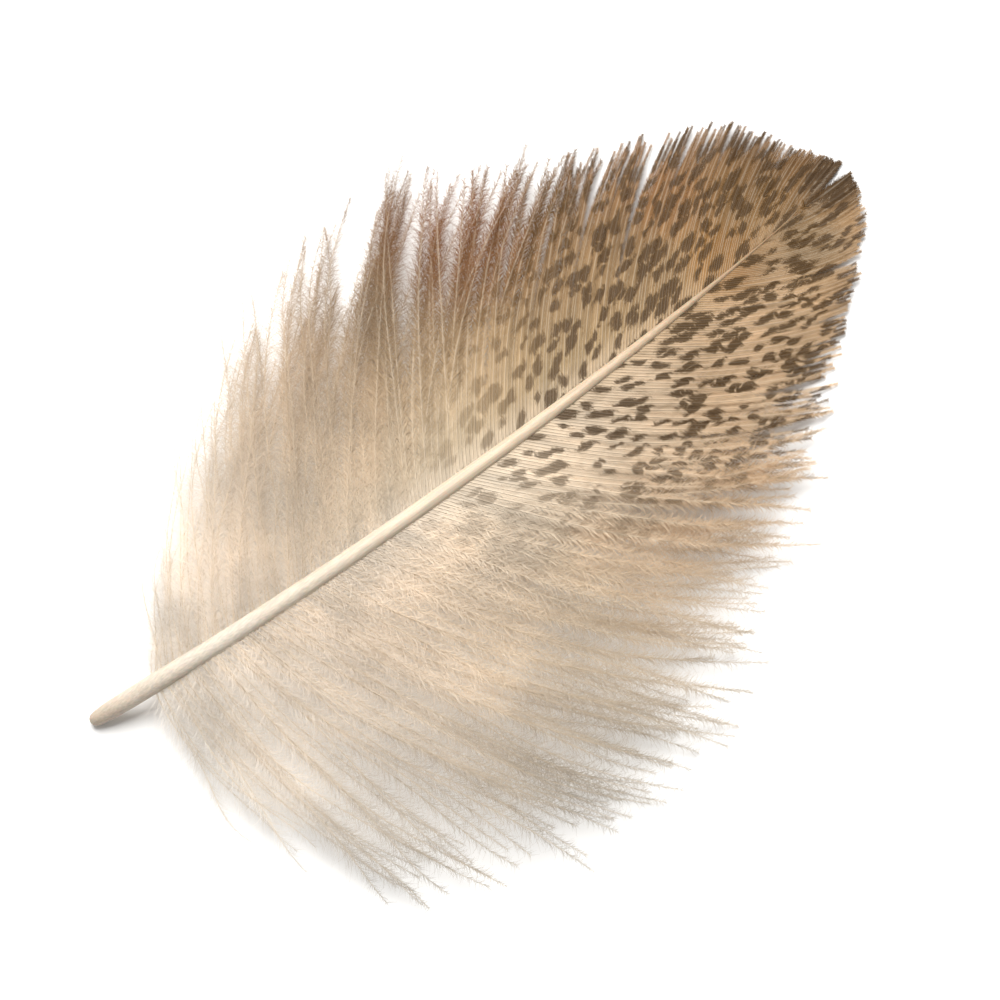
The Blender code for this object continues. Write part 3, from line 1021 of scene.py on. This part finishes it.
def keratin(name):
    material, tree, in_mm, xyz = new_material(name)
    value = {
        key: add(tree, "ShaderNodeAttribute", attribute_name=key).outputs["Fac"]
        for key in ("abreast", "reached", "down", "tone", "blade")
    }
    ground, left_side = ground_colour(tree, in_mm, xyz)
    uneven = uneven_barbs(tree, in_mm, ground, value)
    marked = flecks(tree, in_mm, xyz, left_side, value)
    umber = add(tree, MIX, {
        "Factor": marked, "A": linear(MARKING_EDGE), "B": linear(MARKING),
    }, data_type="RGBA").outputs["Result"]
    spotted = add(tree, MIX, {
        "Factor": marked, "A": uneven, "B": umber,
    }, data_type="RGBA").outputs["Result"]

    paler = add(tree, MATH, {0: value["down"], 1: PALER[1], 2: PALER[0]}, operation="MULTIPLY_ADD")
    stained = add(tree, MATH, {0: marked, 1: -STAINED, 2: paler}, operation="MULTIPLY_ADD")
    stem = add(tree, REMAP, {
        "Value": value["blade"], "From Min": 0.0, "From Max": STEM_ON_BLADE, "To Min": stained, "To Max": 0.0,
    })
    colour = add(tree, MIX, {
        "Factor": stem, "A": spotted, "B": linear(RAMI),
    }, data_type="RGBA").outputs["Result"]

    surface = add(tree, "ShaderNodeBsdfPrincipled", {
        "Base Color": colour, "Roughness": 0.6, "IOR": KERATIN_IOR, "Specular IOR Level": 0.25,
    })
    glow = add(tree, "ShaderNodeBsdfTranslucent", {"Color": colour})
    clear = add(tree, MATH, {0: value["down"], 1: CLEAR[1], 2: CLEAR[0]}, operation="MULTIPLY_ADD")
    both = add(tree, "ShaderNodeMixShader", {0: clear, 1: surface, 2: glow})
    add(tree, "ShaderNodeOutputMaterial", {"Surface": both})
    return material


barb_keratin = keratin("barb_keratin")
print(len(barb_keratin.node_tree.nodes), "nodes colour the barbs")

# %% [markdown]
# ## Growing the barbs, zone by zone
#
# Each side is grown in three pieces: the down, the part where it changes, and the vane. A piece is easier to
# handle while it stays under 200,000 triangles, and the zones want different spacing. Down has its barbules
# closest together, because single threads are thinner than what a picture can show and only their number
# makes them look soft.

# %% Six pieces of barbs
ZONES = {  # first and last share, barbule spacing
    "down": (FIRST_BARB, 0.27, 0.062 * MM),
    "middle": (0.27, 0.52, 0.070 * MM),
    "vane": (0.52, 0.998, 0.085 * MM),
}
BLADE_SECTIONS = 3
BLADE_SLANT = math.radians(36)  # how far a blade stands off its barb
BLADE_BEND = 0.9                # how much it bends, times its splay
SPARE_LENGTH = 1.8              # millimetres that the longest barbules reach past the longest barb

pieces = []
for side in BARBS:
    for number, (zone, (first, last, spacing)) in enumerate(ZONES.items()):
        seed = 10 * number + SIGN[side] + 5  # one of its own for each piece
        lines, count, longest = barb_lines(f"{zone}_{side}", side, barb_shares(first, last), seed)
        piece = grown(lines, barbs_and_barbules, {
            "Barbule spacing": spacing,
            "Blade sections": BLADE_SECTIONS,
            "Slant": BLADE_SLANT,
            "Bend": BLADE_BEND,
            "Barb count": float(count),
            "Longest barb": longest / MM + SPARE_LENGTH,
            "Hand towards the tip": -float(SIGN[side]),
            "Seed": seed,
            "Material": barb_keratin,
        })
        triangles = sum(len(p.vertices) - 2 for p in piece.data.polygons)
        print(piece.name, "has", count, "barbs and", triangles, "triangles")
        pieces.append(piece)

# %% [markdown]
# ## The shaft's shape
#
# The quill is a hollow tube that was rooted in the skin, so its end is rounded and closed. It runs on as the
# shaft, solid and pithy, which thins to a hair at the tip. A curve with a bevel would do, but the same tree
# tools are at hand: a line of points that carries its radius, and a ring of twenty sides swept along it. Seen
# from the front the barbs grow from the shaft's upper flanks, so past the quill the tube is sunk a little.

# %% The shaft's radii and its tree
SHAFT_RADII = np.array((  # share of the length, radius
    (0.0000, 0.10 * MM),
    (0.0010, 0.24 * MM),
    (0.0035, 0.36 * MM),
    (0.0100, 0.46 * MM),
    (0.0300, 0.55 * MM),
    (0.0800, 0.58 * MM),
    (0.4000, 0.50 * MM),
    (0.6000, 0.41 * MM),
    (0.7500, 0.29 * MM),
    (0.8300, 0.19 * MM),
    (0.9000, 0.10 * MM),
    (1.0000, 0.03 * MM),
))
SHAFT_SIDES = 20
SUNK = 0.40       # how far the tube's middle lies below the barbs' roots, in radii
SUNK_FROM = 0.16  # the share of the shaft where it has sunk that far


def shaft_tree():
    tree, given = new_tree("shaft", {"Sides": "Int", "Material": "Material"})
    line = add(tree, "GeometryNodeMeshToCurve", {"Mesh": given["Geometry"]})
    upright = add(tree, "GeometryNodeSetCurveNormal", {"Curve": line}, mode="Z_UP")
    return end_tree(tree, given, swept(tree, upright, given["Sides"]))


print("the quill is", round(2 * float(SHAFT_RADII[:, 1].max()) / MM, 2), "mm thick")

# %% [markdown]
# ## Horn
#
# The shaft is the same keratin as the barbs, but half a millimetre and more of it, which we call horn. It
# grew as bundles of fibres, so fine lines run along it, and preening has smoothed it. To the eye it is ivory
# with a soft wide gloss, a little deep, as light sinks in and comes out again close by. That is what
# subsurface scattering does, here with a radius of a quarter of a millimetre. Its IOR is keratin's too. The
# fibres are a tenth of a millimetre apart, coarser than real ones, which would be too fine to show.

# %% The shaft's material
SHAFT_COLOURS = (  # place from the quill's end to the tip, colour
    (0.00, "#B5A693"),
    (0.05, "#CABCAB"),
    (0.16, "#D3C8B8"),
    (0.50, "#CBB89F"),
    (0.74, "#B39B7F"),
    (0.90, "#866B4C"),
)
FIBRES_A_MM = 11.0        # fibres to a millimetre across the shaft
FIBRES_ALONG = 0.10       # and along it
FIBRE_RANGE = (0.3, 0.7)  # fibre noise seldom leaves this range
FIBRE_SHADES = (0.80, 1.08)


def horn(name):
    material, tree, in_mm, xyz = new_material(name)
    at = add(tree, REMAP, {"Value": xyz.outputs["X"], "From Min": -HALF_LENGTH, "From Max": HALF_LENGTH})
    ivory = with_stops(add(tree, RAMP, {0: at}), SHAFT_COLOURS)
    stretched = add(tree, "ShaderNodeMapping", {
        "Vector": in_mm, "Scale": (FIBRES_ALONG, FIBRES_A_MM, FIBRES_A_MM),
    })
    fibres = add(tree, NOISE, {"Vector": stretched, "Scale": 1.0, "Detail": 3.0})
    shade = add(tree, REMAP, {
        "Value": fibres, "From Min": FIBRE_RANGE[0], "From Max": FIBRE_RANGE[1],
        "To Min": FIBRE_SHADES[0], "To Max": FIBRE_SHADES[1],
    })
    colour = add(tree, VECTOR, {0: ivory, "Scale": shade}, operation="SCALE")
    raised = add(tree, "ShaderNodeBump", {"Height": fibres, "Strength": 0.35, "Distance": 0.02 * MM})
    surface = add(tree, "ShaderNodeBsdfPrincipled", {
        "Base Color": colour, "Normal": raised, "Roughness": 0.5, "IOR": KERATIN_IOR,
        "Specular IOR Level": 0.35, "Subsurface Weight": 0.25, "Subsurface Scale": 0.25 * MM,
    })
    add(tree, "ShaderNodeOutputMaterial", {"Surface": surface})
    return material


# %% Growing the shaft
ROUND_END = 0.01   # the share of the shaft that its rounded end takes
ROUND_POINTS = 10  # points along that end, closer together towards it
LONG_POINTS = 120  # and along the rest
rounded = np.linspace(0, math.sqrt(ROUND_END), ROUND_POINTS)[:-1] ** 2
shares = np.concatenate([rounded, np.linspace(ROUND_END, 1, LONG_POINTS)])
radii = through(SHAFT_RADII, shares)
places = shaft_point(shares)
places[:, 2] -= SUNK * radii * soft_step(shares, FIRST_BARB, SUNK_FROM)
shaft_mesh = bpy.data.meshes.new("shaft")
shaft_mesh.from_pydata(places.tolist(), [(i, i + 1) for i in range(len(shares) - 1)], [])
shaft_mesh.attributes.new("thick", "FLOAT", "POINT").data.foreach_set("value", radii.astype(np.float32))
shaft_line = bpy.data.objects.new("shaft", shaft_mesh)
bpy.context.scene.collection.objects.link(shaft_line)
shaft = grown(shaft_line, shaft_tree(), {"Sides": SHAFT_SIDES, "Material": horn("quill_horn")})
pieces.append(shaft)
print("shaft has", len(shaft.data.polygons), "faces, box", [round(d / MM, 2) for d in shaft.dimensions])

# %% [markdown]
# ## Handing over
#
# The feather is one thing that can be picked up, so every piece rides on the model's one body, and together
# they stand for its one solid.

# %% Riding, replacing and finishing
for piece in pieces:
    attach(piece, "root")
    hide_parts("feather")
